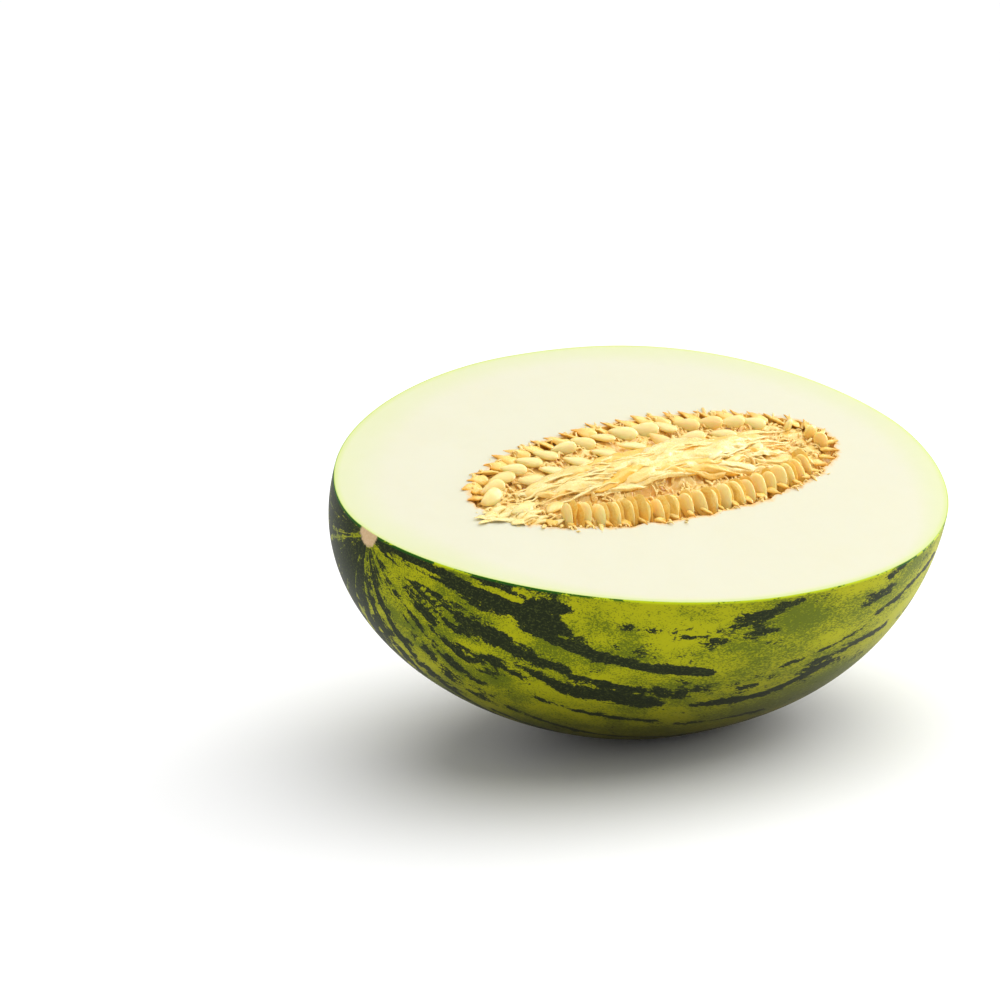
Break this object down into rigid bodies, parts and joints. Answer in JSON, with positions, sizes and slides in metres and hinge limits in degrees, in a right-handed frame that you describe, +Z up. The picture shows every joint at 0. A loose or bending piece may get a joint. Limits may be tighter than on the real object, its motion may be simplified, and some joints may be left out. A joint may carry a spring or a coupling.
{
  "type": "halved green striped melon",
  "caption": "Half of an oval smooth-skinned green striped melon, cut lengthwise, with cream flesh, fibrous orange pulp and seeds in the open seed cavity.",
  "frame": {"origin": "under the middle of the half, on the surface that it rests on", "axes": "+X runs along the melon from the stem end to the blossom end, +Y to the back, +Z up; the cut face looks up and leans 17.9 degrees towards -Y"},
  "size_m": [0.24, 0.1704, 0.1217],
  "materials": {
    "rind": "satin",
    "pulp": "gloss",
    "seed": "satin"
  },
  "bodies": {
    "root": {"melon_half": "rind", "seed_back_01": "seed", "seed_back_02": "seed", "seed_back_03": "seed", "seed_back_04": "seed", "seed_back_05": "seed", "seed_back_06": "seed", "seed_back_07": "seed", "seed_back_08": "seed", "seed_back_09": "seed", "seed_back_10": "seed", "seed_back_11": "seed", "seed_back_12": "seed", "seed_back_13": "seed", "seed_back_14": "seed", "seed_back_15": "seed", "seed_back_16": "seed", "seed_blossom_01": "seed", "seed_blossom_02": "seed", "seed_blossom_03": "seed", "seed_front_01": "seed", "seed_front_02": "seed", "seed_front_03": "seed", "seed_front_04": "seed", "seed_front_05": "seed", "seed_front_06": "seed", "seed_front_07": "seed", "seed_front_08": "seed", "seed_front_09": "seed", "seed_front_10": "seed", "seed_front_11": "seed", "seed_front_12": "seed", "seed_front_13": "seed", "seed_front_14": "seed", "seed_front_15": "seed", "seed_front_16": "seed", "seed_front_17": "seed", "seed_front_18": "seed", "seed_front_19": "seed", "seed_front_20": "seed", "seed_inner_01": "seed", "seed_inner_02": "seed", "seed_inner_03": "seed", "seed_inner_04": "seed", "seed_inner_05": "seed", "seed_inner_06": "seed", "seed_inner_07": "seed", "seed_inner_08": "seed", "seed_loose_01": "seed", "seed_loose_02": "seed", "seed_loose_03": "seed", "seed_loose_04": "seed", "seed_pulp": "pulp"}
  },
  "joints": []
}
